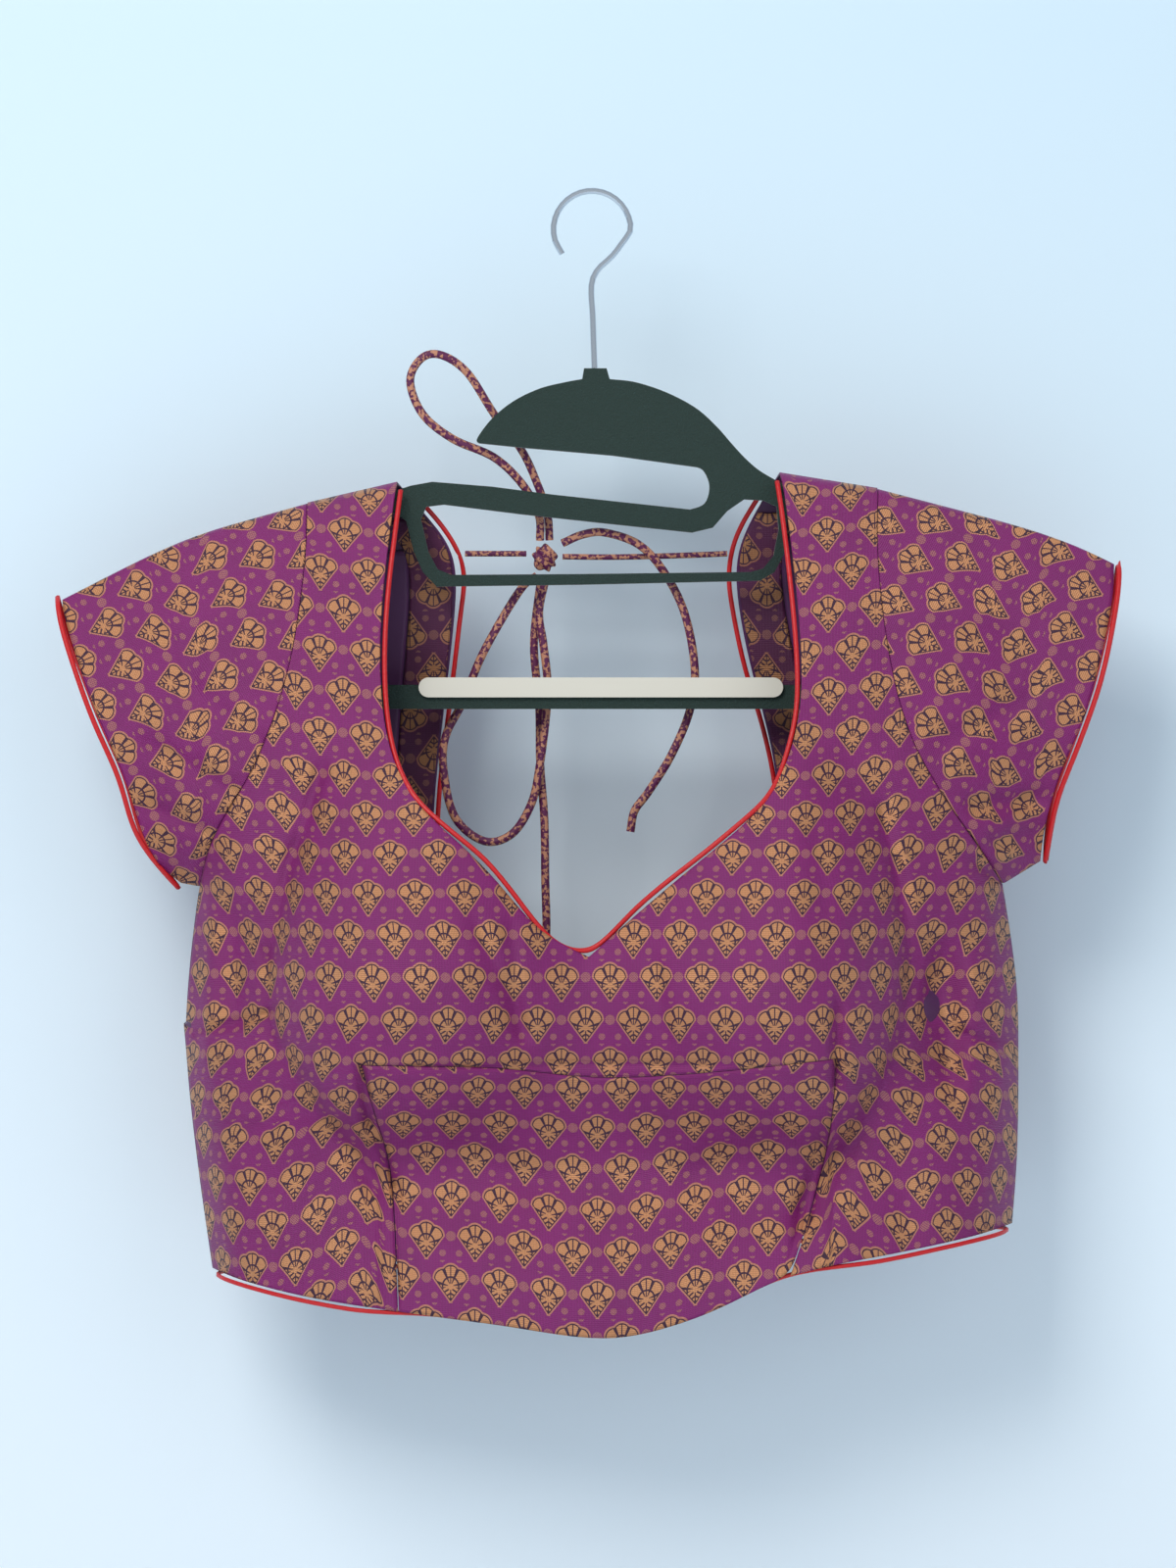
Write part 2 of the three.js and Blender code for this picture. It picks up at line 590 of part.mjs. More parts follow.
function cord(name) {
  const taut = name.includes('taut');
  return tube(vectors(ROUTES[name]), taut ? TAUT_RADIUS : CORD_RADIUS, CORD_STEPS[name]);
}

function knot() {
  const ball = new THREE.SphereGeometry(1, 12, 8);
  ball.scale(6.2, 4.2, 6.8);
  ball.translate(-22.8, 14, -174);
  return ball;
}

// ---------------------------------------------------------------- hanger
const ARM_DROP = 2.6; // below the shoulder line, so that the cloth lies on the arm
const ARM_HEIGHT = 12;
const BAR_TOP = -235.5;
const BAR_BOTTOM = -247;

function plateOutline() {
  const shape = new THREE.Shape();
  const draw = (points) => points.forEach(([x, z]) => shape.lineTo(x, z));
  const curve = (points) => shape.splineThru(points.map(([x, z]) => new THREE.Vector2(x, z)));
  shape.moveTo(7, -83.8);
  shape.lineTo(8.5, -89);
  curve([[21, -90.5], [36, -95.5], [50, -103], [60, -112], [67, -120], [73.5, -127], [80.5, -133], [90, -138.5]]);
  draw([[110, -142], [137, -146.5], [204, -164.5]]);
  curve([[211, -169], [213, -180], [206, -206], [196, -232], [186, -243], [176, BAR_BOTTOM]]);
  shape.lineTo(-172, BAR_BOTTOM);
  curve([[-182, -243], [-192, -232], [-202, -209], [-208, -184], [-205, -176], [-198, -171.5]]);
  draw([[-181, -166.3], [-136.5, -153], [-110, -145.8], [-93, -142], [-86.5, -140], [-76.5, -138.2]]);
  draw([[-48, -140.5], [-19, -144.3], [47, -151.5]]);
  curve([[54, -148.5], [56.3, -140], [53, -132.3], [47, -130.6]]);
  draw([[10, -125.5], [-33.5, -121.7], [-54, -119.6]]);
  curve([[-55, -117.4], [-48, -108], [-37.5, -99.5], [-25, -93.5], [-13, -90.5], [-4.7, -89]]);
  shape.lineTo(-3.8, -83.8);
  shape.closePath();
  return shape;
}

// The four-sided window under the crossbar.
function frameHole() {
  const hole = new THREE.Shape();
  const points = [
    [-79.5, -150], [-71, -149], [-33.5, -153.7], [10, -158.4], [48, -162.4], [58, -160], [65, -152], [73, -146.5],
    [82, -147], [88.5, -150], [89.5, -161], [87, -173.5], [82, -179.8], [76, -181.4], [-5, -182.4], [-67.5, -182.8],
    [-74, -180], [-78.5, -171.5], [-82, -156],
  ];
  hole.moveTo(...points[0]);
  points.slice(1).forEach(([x, z]) => hole.lineTo(x, z));
  hole.closePath();
  return hole;
}

// The space between the arms, the window's frame and the trouser bar.
function barHole() {
  const hole = new THREE.Shape();
  const underArm = (shoulder) => shoulder.map(([x, z]) => [x, z - ARM_DROP - ARM_HEIGHT]);
  const right = underArm([[110, -137], [137, -141], [198, -157.5]]);
  const left = underArm([[-190, -163.2], [-136.5, -148], [-112, -141]]);
  const points = [
    [93.5, -154], [92, -173], [87.5, -181.4], [80.5, -185.5], [-5, -187.4], [-74.5, -188.3],
    [-81, -181.5], [-85.5, -171.5], [-89, -157], [-94, -153],
    ...left.reverse(), [-198, -184], [-192, -208], [-183, -228], [-174, BAR_TOP],
    [178, BAR_TOP], [187, -228], [196, -206], [202, -182], ...right.reverse(), [98, -150.5],
  ];
  hole.moveTo(...points[0]);
  points.slice(1).forEach(([x, z]) => hole.lineTo(x, z));
  hole.closePath();
  return hole;
}

function hook() {
  const shank = [[1.2, 0, -83.5], [0.4, 0, -60], [0, 0, -42], [3, 0, -36], [9.5, 0, -30], [14.5, 0, -23.5]];
  const arc = range(10).map((k) => {
    const angle = (k / 9) * (Math.PI * 1.22);
    return [HOOK_RADIUS * Math.cos(angle), 0, HOOK_CENTRE + HOOK_RADIUS * Math.sin(angle)];
  });
  return tube(vectors([...shank, ...arc]), WIRE_RADIUS, 40, 10);
}

// ---------------------------------------------------------------- booleans: the hanger plate, and the grip cut to sit over its bar
const wasm = await Module();
wasm.setup();

function solidOf(geometry) {
  const bare = geometry.clone();
  bare.deleteAttribute('normal');
  bare.deleteAttribute('uv');
  const merged = mergeVertices(bare, 1e-4);
  return new wasm.Manifold(new wasm.Mesh({
    numProp: 3,
    vertProperties: new Float32Array(merged.attributes.position.array),
    triVerts: new Uint32Array(merged.index.array),
  }));
}

function geometryOf(solid) {
  const mesh = solid.getMesh();
  const geometry = new THREE.BufferGeometry();
  geometry.setAttribute('position', new THREE.Float32BufferAttribute(mesh.vertProperties, 3));
  geometry.setIndex([...mesh.triVerts]);
  return geometry;
}

// A plate cut along Y from an outline in x and z.
function plateOf(outline, thickness, curveSegments) {
  const plate = new THREE.ExtrudeGeometry(outline, { depth: thickness, bevelEnabled: false, curveSegments });
  plate.translate(0, 0, -thickness / 2);
  return plate.rotateX(Math.PI / 2);
}

function hangerBody() {
  const windows = [frameHole(), barHole()].map((hole) => solidOf(plateOf(hole, PLATE * 2, 1)));
  return geometryOf(windows.reduce((body, hole) => body.subtract(hole), solidOf(plateOf(plateOutline(), PLATE, 4))));
}

// Trims a piece where it would touch a sheet of cloth.
function clearOf(geometry, sheet, inside = 0) {
  const clearance = solidOf(sheet.wall(WALL + inside + 2 * SEAM, SEAM));
  return geometryOf(solidOf(geometry).subtract(clearance).subtract(solidOf(sheet.wall())));
}

const GRIP = { from: -83, to: 91.5, top: -232, bottom: -241.5, thick: 2 };

function gripStrip() {
  const height = GRIP.top - GRIP.bottom;
  const middle = (GRIP.top + GRIP.bottom) / 2;
  const outline = new THREE.Shape();
  outline.absarc(GRIP.to - height / 2, middle, height / 2, -Math.PI / 2, Math.PI / 2, false);
  outline.absarc(GRIP.from + height / 2, middle, height / 2, Math.PI / 2, (3 * Math.PI) / 2, false);
  const strip = plateOf(outline, PLATE + 2 * (GRIP.thick + SEAM), 6);
  const slot = new THREE.BoxGeometry(400, PLATE + 2 * SEAM, 40);
  slot.translate(0, 0, BAR_TOP + SEAM - 20);
  return geometryOf(solidOf(strip).subtract(solidOf(slot)));
}

// ---------------------------------------------------------------- the object
const group = new THREE.Group();
const finish = (color, roughness, metalness = 0) => () => (
  new THREE.MeshStandardMaterial({ color, roughness, metalness })
);
const brocade = finish(0x8a2a58, 0.55);
const lining = finish(0x460046, 0.6);
const red = finish(0xd01822, 0.5);
const flock = finish(0x142d28, 0.9);
const steel = finish(0xc4ccd4, 0.25, 1);
const cream = finish(0xe1dccd, 0.5);

function add(name, geometry, material) {
  const mesh = new THREE.Mesh(geometry, material());
  mesh.name = name;
  group.add(mesh);
}

add('hanger_body', hangerBody(), flock);
add('hanger_hook', hook(), steel);
add('grip_strip', gripStrip(), cream);
const front = frontBodice();
add('front_bodice', front.wall(), brocade);
add('front_midriff', frontMidriff(), brocade);
['left', 'right'].forEach((side, i) => {
  const back = backHalf(i);
  const arm = sleeve(i);
  add(`back_${side}`, back.wall(), brocade);
  add(`sleeve_${side}`, arm.wall(), brocade);
  add(`back_facing_${side}`, backFacing(i), brocade);
  add(`back_lining_${side}`, backLining(i), lining);
  add(`neck_piping_back_${side}`, clearOf(backNeckPiping(i), back, FACING + SEAM), red);
  add(`cuff_piping_${side}`, clearOf(cuffPiping(i), arm), red);
});
add('neck_piping_front', clearOf(frontNeckPiping(), front), red);
add('hem_piping', hemPiping(), red);
Object.keys(ROUTES).forEach((name) => add(name, cord(name), brocade));
add('tie_knot', knot(), brocade);

export default group;
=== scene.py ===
# %% [markdown]
# # A brocade choli blouse on a flocked hanger
# The frame brings every piece in at its place, in metres, with +Z up and the front facing -Y.
# Cloth becomes a fine, soft shell on its frame piece, with listed creases. The brocade is
# worked out by nodes from real-size cloth coordinates.

import math

import bmesh
import bpy
import numpy as np
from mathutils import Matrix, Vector
from mathutils.bvhtree import BVHTree


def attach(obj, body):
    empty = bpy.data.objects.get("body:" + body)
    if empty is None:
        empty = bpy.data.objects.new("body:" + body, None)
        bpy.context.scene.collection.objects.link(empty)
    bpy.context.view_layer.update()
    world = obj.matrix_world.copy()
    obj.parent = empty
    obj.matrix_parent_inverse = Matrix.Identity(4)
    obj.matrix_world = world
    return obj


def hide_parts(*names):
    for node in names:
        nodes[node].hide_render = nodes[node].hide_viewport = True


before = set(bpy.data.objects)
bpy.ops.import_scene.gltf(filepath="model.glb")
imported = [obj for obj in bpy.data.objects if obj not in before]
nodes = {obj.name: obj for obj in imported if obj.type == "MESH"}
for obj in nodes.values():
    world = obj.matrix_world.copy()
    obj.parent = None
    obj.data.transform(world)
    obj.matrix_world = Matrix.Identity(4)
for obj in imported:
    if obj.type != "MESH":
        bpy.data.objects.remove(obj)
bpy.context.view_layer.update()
MM = 0.001
print("pieces in the frame:", len(nodes))

# %% [markdown]
# ## Shader maths
# A small class wraps a node socket, so that patterns read like ordinary sums.


# %% sockets that add up
class Value:
    def __init__(self, tree, socket):
        self.tree, self.socket = tree, socket

    def maths(self, operation, *others, swap=False):
        node = self.tree.nodes.new("ShaderNodeMath")
        node.operation = operation
        inputs = [self, *others]
        if swap:
            inputs.reverse()
        for place, item in zip(node.inputs, inputs):
            if isinstance(item, Value):
                self.tree.links.new(item.socket, place)
            else:
                place.default_value = item
        return Value(self.tree, node.outputs[0])

    def __add__(self, other):
        return self.maths("ADD", other)

    def __sub__(self, other):
        return self.maths("SUBTRACT", other)

    def __rsub__(self, other):
        return self.maths("SUBTRACT", other, swap=True)

    def __mul__(self, other):
        return self.maths("MULTIPLY", other)

    def __truediv__(self, other):
        return self.maths("DIVIDE", other)

    def __lt__(self, other):
        return self.maths("LESS_THAN", other)

    def __gt__(self, other):
        return self.maths("GREATER_THAN", other)

    __radd__ = __add__
    __rmul__ = __mul__


def either(a, b):
    return a.maths("MAXIMUM", b)


def disc(a, b, x, y, radius):
    """1 inside a circle."""
    dx, dy = a - x, b - y
    return (dx * dx + dy * dy) < radius * radius


def new_material(name):
    material = bpy.data.materials.new(name)
    material.use_nodes = True
    tree = material.node_tree
    return material, tree, tree.nodes["Principled BSDF"]


def blend_colour(tree, share, low, high):
    """Mixes two colours, each a tuple or a socket."""
    node = tree.nodes.new("ShaderNodeMix")
    node.data_type = "RGBA"
    tree.links.new(share.socket, node.inputs[0])
    for place, item in ((node.inputs[6], low), (node.inputs[7], high)):
        if isinstance(item, tuple):
            place.default_value = (*item, 1)
        else:
            tree.links.new(item, place)
    return node.outputs[2]


def noise(tree, vector, scale, detail=2.0):
    node = tree.nodes.new("ShaderNodeTexNoise")
    node.inputs["Scale"].default_value = scale
    node.inputs["Detail"].default_value = detail
    tree.links.new(vector, node.inputs["Vector"])
    return Value(tree, node.outputs["Fac"])


def bump(tree, shader, height, distance, strength=1.0):
    node = tree.nodes.new("ShaderNodeBump")
    node.inputs["Distance"].default_value = distance
    node.inputs["Strength"].default_value = strength
    tree.links.new(height.socket, node.inputs["Height"])
    tree.links.new(node.outputs[0], shader.inputs["Normal"])


# %% [markdown]
# ## Brocade
# One lotus booti stands in each cell of a brick layout, with dotted rosettes between. Sizes are
# in millimetres of cloth.

# %% brocade
CELL_WIDTH = 23.0
ROW_HEIGHT = 20.0
SLIM = 1.13  # the booti is taller than wide
PURPLE = (0.185, 0.001, 0.115)
SHADE = (0.035, 0.0, 0.022)
COPPER = (0.56, 0.25, 0.115)
ROSE = (0.46, 0.18, 0.125)


def cell_coordinates(tree):
    """Millimetres from the middle of the nearest booti, across and up."""
    uv = tree.nodes.new("ShaderNodeUVMap")
    uv.uv_map = "Cloth"
    apart = tree.nodes.new("ShaderNodeSeparateXYZ")
    tree.links.new(uv.outputs[0], apart.inputs[0])
    u = Value(tree, apart.outputs[0])
    v = Value(tree, apart.outputs[1])
    row = (v / ROW_HEIGHT).maths("FLOOR")
    shift = row.maths("FLOORED_MODULO", 2.0) * (CELL_WIDTH / 2)
    a = (u + shift).maths("FLOORED_MODULO", CELL_WIDTH) - CELL_WIDTH / 2
    b = v.maths("FLOORED_MODULO", ROW_HEIGHT) - ROW_HEIGHT / 2
    return uv.outputs[0], u, v, a, b


def booti(a, b):
    """The lotus: its outline band, its petals and the dark lines between them."""
    a = a * SLIM
    up = b + 2.2
    radius = (a * a + up * up).maths("SQRT")
    angle = a.maths("ARCTAN2", up)
    lobes = (angle * 3.5).maths("COSINE").maths("ABSOLUTE")
    fan = 9.9 + lobes * 1.1 - radius
    side = a.maths("ABSOLUTE")
    leaf = (b + 10.6) * 0.80 - side * 0.98
    edge = fan.maths("MINIMUM", leaf)
    inside = edge > 0.0
    outline = inside * (edge < 0.95)
    heart = edge > 1.55
    ribs = ((b * 1.0 + side * 0.6) * 2.6).maths("SINE") > -0.35
    wings = up < (side * -0.12)
    spokes = lobes > 0.36
    rings = (radius - 4.3).maths("ABSOLUTE") > 0.42
    petals = spokes * rings
    pod = disc(a, b, 0.0, -2.4, 1.5)
    filled = wings * ribs + (1.0 - wings) * petals
    core = heart * either(filled, pod) * (side > 0.28)
    gold = either(core, heart * pod)
    foot = (side < ((b * -1.0 - 9.0) * 1.3)) * (b > -10.45)
    return inside, either(outline, foot), gold


def rosettes(a, b):
    """Dotted rounds between the bootis, with a smaller pair below each and one under its foot."""
    side = a.maths("ABSOLUTE")
    dots = ((a * 5.2).maths("SINE") * (b * 5.2).maths("SINE")) > -0.25
    large = disc(side, b, CELL_WIDTH / 2, 1.5, 2.4)
    small = disc(side, b, 7.6, -6.6, 1.6)
    top = disc(side, b, 4.0, 10.2, 1.3)
    return either(either(large, small), top) * dots


def brocade(name, ground=PURPLE, painted_shade_scale=1.0):
    material, tree, shader = new_material(name)
    vector, u, v, a, b = cell_coordinates(tree)
    inside, pale, gold = booti(a, b)
    dots = rosettes(a, b) * (1.0 - inside)
    uneven = noise(tree, vector, 0.035, 3.0)
    ribbing = (u * 9.0).maths("SINE") * 0.5 + 0.5
    shot = blend_colour(tree, uneven, ground, tuple(c * 1.5 for c in ground))
    silk = blend_colour(tree, ribbing * 0.35, shot, SHADE)
    body = blend_colour(tree, inside, silk, SHADE)
    # The last argument below 1 dims the copper and rose threads as painted shade.
    copper = tuple(c * painted_shade_scale for c in COPPER)
    rose = tuple(c * painted_shade_scale for c in ROSE)
    thread = ((v * 7.0).maths("SINE") * 0.5 + 0.5) * 0.35
    woven = blend_colour(tree, thread, copper, tuple(c * 0.45 for c in copper))
    colour = blend_colour(tree, gold, body, woven)
    colour = blend_colour(tree, pale, colour, rose)
    colour = blend_colour(tree, dots * 0.7, colour, rose)
    tree.links.new(colour, shader.inputs["Base Color"])
    metal = either(gold, pale)
    tree.links.new((metal * 0.45).socket, shader.inputs["Metallic"])
    tree.links.new((0.52 - metal * 0.1).socket, shader.inputs["Roughness"])
    shader.inputs["Sheen Weight"].default_value = 0.04
    height = metal * 0.8 + dots * 0.4 + thread * 0.5 + ribbing * 0.12
    bump(tree, shader, height, 0.0006)
    return material


# %% plain finishes
def plain(name, colour, roughness, metallic=0.0, sheen=0.0, grain=0.0, grain_size=900.0):
    material, tree, shader = new_material(name)
    shader.inputs["Base Color"].default_value = (*colour, 1)
    shader.inputs["Roughness"].default_value = roughness
    shader.inputs["Metallic"].default_value = metallic
    shader.inputs["Sheen Weight"].default_value = sheen
    if grain:
        place = tree.nodes.new("ShaderNodeTexCoord").outputs["Object"]
        bump(tree, shader, noise(tree, place, grain_size), grain)
    return material


def cord_cloth():
    """Bias cord: flecks of copper on purple, running round it."""
    material, tree, shader = new_material("cord brocade")
    place = tree.nodes.new("ShaderNodeTexCoord").outputs["Object"]
    flecks = noise(tree, place, 520.0, 3.0) > 0.52
    colour = blend_colour(tree, flecks, (0.10, 0.004, 0.06), (0.50, 0.22, 0.13))
    tree.links.new(colour, shader.inputs["Base Color"])
    shader.inputs["Roughness"].default_value = 0.55
    bump(tree, shader, flecks, 0.0004)
    return material


BROCADE = brocade("brocade")
# The facing is the brocade with its ground and motif darkened: painted shade for the inside of the
# back.
FACING_PAINTED_SHADE = brocade("brocade facing painted shade", tuple(c * 0.35 for c in PURPLE), 0.7)
LINING = plain("lining", (0.062, 0.0, 0.065), 0.5, sheen=0.2)
PIPING = plain("piping", (0.56, 0.004, 0.008), 0.42, grain=0.0002)
FLOCK = plain("flock", (0.010, 0.030, 0.024), 0.85, sheen=0.3, grain=0.0008, grain_size=1100.0)
STEEL = plain("steel", (0.62, 0.68, 0.75), 0.22, metallic=1.0)
GRIP = plain("grip", (0.72, 0.69, 0.60), 0.4)
CORD = cord_cloth()

# %% [markdown]
# ## Creases
# Each row is a soft trough, or a ridge where its depth is negative: from one point to another in
# x and z, with its half width and depth, all in millimetres.

# %% creases
DARTS = [
    # x1, z1, x2, z2, half width, depth
    (-108, -412, -104, -446, 2.6, 6.0),
    (-104, -440, -91, -480, 2.4, 4.0),
    (-91, -476, -91, -528, 1.5, 1.4),
    (114, -384, 114, -428, 2.6, 5.5),
    (110, -440, 94, -505, 2.0, 3.0),
    (-194, -404, -148, -390, 2.4, 3.4),
    (172, -401, 203, -409, 2.4, 3.0),
    (-107, -415, 78, -414, 1.5, 1.8),
]
CREASES = [
    (-127, -272, -140, -318, 4.0, 3.2),
    (-140, -310, -153, -368, 4.5, 5.0),
    (-153, -360, -152, -402, 4.5, 4.5),
    (-152, -400, -126, -442, 5.0, 4.0),
    (-126, -440, -98, -478, 5.5, 4.0),
    (136, -291, 143, -325, 4.0, 3.2),
    (143, -320, 151, -370, 4.5, 5.0),
    (151, -366, 143, -416, 5.0, 5.0),
    (143, -412, 121, -456, 6.0, 5.5),
    (121, -452, 96, -492, 6.0, 6.0),
    (-56, -344, -41, -378, 4.0, 1.8),
    (-41, -374, -30, -404, 3.5, 2.2),
    (-38, -346, -34, -404, 3.5, 1.8),
    (28, -362, 35, -404, 4.0, 1.5),
    (60, -340, 84, -372, 5.0, 1.4),
    (-96, -300, -118, -352, 6.0, 1.4),
    (104, -300, 110, -350, 6.0, 1.5),
    (-172, -336, -168, -402, 7.0, 3.0),
    (166, -356, 170, -428, 7.0, 4.0),
    (182, -366, 178, -440, 5.0, -1.8),
    (-182, -350, -184, -420, 5.0, -1.4),
    (-70, -452, -18, -474, 9.0, 2.2),
    (40, -470, 92, -446, 9.0, 2.2),
    (-14, -470, 10, -540, 8.0, -1.2),
    (60, -476, 44, -528, 7.0, -1.0),
    (140, -450, 150, -500, 8.0, 1.4),
    (-150, -450, -160, -510, 8.0, 1.2),
]
SLEEVE_CREASES = [
    (-150, -270, -196, -232, 5.0, 1.6),
    (-165, -290, -214, -262, 5.0, 2.4),
    (-178, -308, -214, -292, 4.0, 2.4),
    (-150, -200, -240, -214, 8.0, -1.2),
    (160, -268, 212, -240, 5.0, 1.6),
    (176, -294, 218, -290, 5.0, 4.0),
    (188, -312, 214, -308, 4.0, 2.6),
    (150, -200, 238, -206, 8.0, -1.2),
]
BACK_CREASES = [
    (-120, -300, -150, -380, 9.0, 2.2),
    (130, -310, 152, -392, 9.0, 2.6),
    (-60, -450, -110, -500, 10.0, 1.6),
    (50, -448, 120, -494, 10.0, 1.8),
    (-170, -350, -172, -440, 7.0, 2.0),
    (176, -350, 180, -450, 7.0, 2.0),
]


def crease_depth(x, z, table):
    """How far in the cloth lies at x and z, in millimetres, over all rows of a table."""
    total = np.zeros_like(x)
    for x1, z1, x2, z2, half, depth in table:
        length = math.hypot(x2 - x1, z2 - z1)
        along = ((x - x1) * (x2 - x1) + (z - z1) * (z2 - z1)) / length**2
        across = ((x - x1) * (z2 - z1) - (z - z1) * (x2 - x1)) / length
        ends = np.clip((along + 0.12) / 0.3, 0, 1) * np.clip((1.12 - along) / 0.3, 0, 1)
        total += depth * np.exp(-((across / half) ** 2)) * ends * ends * (3 - 2 * ends)
    return total


def ripple(x, z):
    """Slight unevenness of hung cloth."""
    return 0.5 * np.sin(x / 17 + np.sin(z / 31)) * np.sin(z / 23 + 0.7 * np.sin(x / 29))


# %% [markdown]
# ## Fine cloth
# A frame piece is copied, its triangles are joined into quads and it is subdivided. Then the
# creases move both faces of the wall together.


# %% fine cloth
SHARP = math.radians(55)  # the rim of a wall keeps its edge


def fine_copy(name, levels=3):
    mesh = nodes[name].data.copy()
    work = bmesh.new()
    work.from_mesh(mesh)
    bmesh.ops.remove_doubles(work, verts=work.verts, dist=1e-6)
    bmesh.ops.join_triangles(
        work, faces=work.faces, angle_face_threshold=0.7, angle_shape_threshold=1.2
    )
    hold = work.edges.layers.float.new("crease_edge")
    for edge in work.edges:
        sharp = len(edge.link_faces) == 2 and edge.calc_face_angle() > SHARP
        edge[hold] = 1.0 if sharp else 0.0
    work.to_mesh(mesh)
    work.free()
    mesh.materials.clear()
    piece = bpy.data.objects.new(name + "_fine", mesh)
    bpy.context.scene.collection.objects.link(piece)
    soften = piece.modifiers.new("soften", "SUBSURF")
    soften.levels = soften.render_levels = levels
    ready = piece.evaluated_get(bpy.context.evaluated_depsgraph_get())
    piece.data = bpy.data.meshes.new_from_object(ready)
    piece.modifiers.clear()
    piece.data.name = name + "_fine"
    piece.data.shade_smooth()
    return piece


def places(piece):
    flat = np.empty(len(piece.data.vertices) * 3)
    piece.data.vertices.foreach_get("co", flat)
    return flat.reshape(-1, 3)


def crease(piece, side, table):
    """Moves the cloth in along Y. side is -1 on the front and 1 on the back, or 0 for a sleeve."""
    at = places(piece)
    x, z = at[:, 0] / MM, at[:, 2] / MM
    depth = crease_depth(x, z, table) + ripple(x, z)
    slack = np.clip((np.abs(at[:, 1]) / MM - 5) / 12, 0, 1)
    way = np.sign(at[:, 1]) if side == 0 else side
    at[:, 1] -= way * depth * slack * MM
    piece.data.vertices.foreach_set("co", at.ravel())
    piece.data.update()


GRID = 3.0  # millimetres between rays
STEEPEST = 7  # the most that one step may rise, so that an edge is not measured as cloth


def lengths_over(piece, side):
    """Cloth lengths across and up at each point of a grid over x and z, in millimetres."""
    tree = BVHTree.FromPolygons(
        [v.co for v in piece.data.vertices], [p.vertices for p in piece.data.polygons]
    )
    xs, zs = np.arange(-264, 265, GRID), np.arange(-552, -125, GRID)
    depth = np.full((len(xs), len(zs)), np.nan)
    for i, x in enumerate(xs):
        for j, z in enumerate(zs):
            hit = tree.ray_cast(Vector((x * MM, side * 0.3, z * MM)), Vector((0, -side, 0)))[0]
            if hit:
                depth[i, j] = side * hit.y / MM
    across = np.diff(depth, axis=0, prepend=depth[:1])
    up = np.diff(depth, axis=1, prepend=depth[:, :1])
    across = np.hypot(GRID, np.clip(np.nan_to_num(across), -STEEPEST, STEEPEST))
    up = np.hypot(GRID, np.clip(np.nan_to_num(up), -STEEPEST, STEEPEST))
    across, up = np.cumsum(across, axis=0), np.cumsum(up, axis=1)
    across -= across[len(xs) // 2]
    up -= up[:, len(zs) // 2][:, None]
    return xs, zs, across, up


def on_grid(xs, zs, grid, x, z):
    i = np.clip((x - xs[0]) / GRID, 0, len(xs) - 1.001)
    j = np.clip((z - zs[0]) / GRID, 0, len(zs) - 1.001)
    i0, j0 = i.astype(int), j.astype(int)
    a, b = i - i0, j - j0
    low = grid[i0, j0] * (1 - a) + grid[i0 + 1, j0] * a
    high = grid[i0, j0 + 1] * (1 - a) + grid[i0 + 1, j0 + 1] * a
    return low * (1 - b) + high * b


def lay_weave(piece, side, turn=0.0, shift=(0.0, 0.0)):
    """Cloth coordinates in millimetres. turn leans the weave, in degrees."""
    xs, zs, across, up = lengths_over(piece, side)
    at = places(piece)
    x, z = at[:, 0] / MM, at[:, 2] / MM
    u = on_grid(xs, zs, across, x, z)
    v = on_grid(xs, zs, up, x, z)
    c, s = math.cos(math.radians(turn)), math.sin(math.radians(turn))
    u, v = u * c + v * s + shift[0], v * c - u * s + shift[1]
    layer = piece.data.uv_layers.new(name="Cloth")
    corner = np.empty(len(piece.data.loops), dtype=int)
    piece.data.loops.foreach_get("vertex_index", corner)
    layer.uv.foreach_set("vector", np.stack([u[corner], v[corner]], 1).astype(np.float32).ravel())


TURNED_IN = -0.15  # a face that looks further inwards than this shows the lining


def line_inside(piece, side):
    """Gives the inner faces of a wall the lining's finish."""
    piece.data.materials.append(BROCADE)
    piece.data.materials.append(LINING)
    for face in piece.data.polygons:
        outward = face.normal.y * (side or math.copysign(1, face.center.y))
        face.material_index = 1 if outward < TURNED_IN else 0


def hand_in(piece, name):
    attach(piece, "root")
    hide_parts(name)
    print(name, len(piece.data.polygons), "faces")


def state_sheet(piece):
    """Reads the places of the cloth as hung, and does nothing more with them. States the
    cloth as hung: its extent, grown to hold the area that its folds take up.
    """
    at = places(piece)


# %% the blouse
CLOTH = {
    # side, weave turn, weave shift, creases
    "front_bodice": (-1, 0.0, (3.0, 6.0), DARTS + CREASES),
    "front_midriff": (-1, 0.0, (9.0, -1.0), DARTS + CREASES),
    "back_left": (1, 0.0, (0.0, 0.0), BACK_CREASES),
    "back_right": (1, 0.0, (8.0, 0.0), BACK_CREASES),
    "sleeve_left": (0, -65.0, (0.0, 4.0), SLEEVE_CREASES),
    "sleeve_right": (0, 65.0, (5.0, 0.0), SLEEVE_CREASES),
}
for name, (side, turn, shift, table) in CLOTH.items():
    piece = fine_copy(name)
    crease(piece, side, table)
    lay_weave(piece, side or -1, turn, shift)
    line_inside(piece, side)
    hand_in(piece, name)
    state_sheet(piece)

for side_name in ("left", "right"):
    facing = fine_copy("back_facing_" + side_name)
    lay_weave(facing, -1, 180.0, (4.0, 0.0))
    facing.data.materials.append(FACING_PAINTED_SHADE)
    hand_in(facing, "back_facing_" + side_name)
    lining = fine_copy("back_lining_" + side_name)
    lining.data.materials.append(LINING)
    hand_in(lining, "back_lining_" + side_name)

PIPINGS = sorted(name for name in nodes if "piping" in name)
for name in PIPINGS:
    edge = fine_copy(name, 2)
    edge.data.materials.append(PIPING)
    hand_in(edge, name)

# %% [markdown]
# ## Tie cords
# The knot holds two taut ends from the back neck, two loops and two hanging ends.

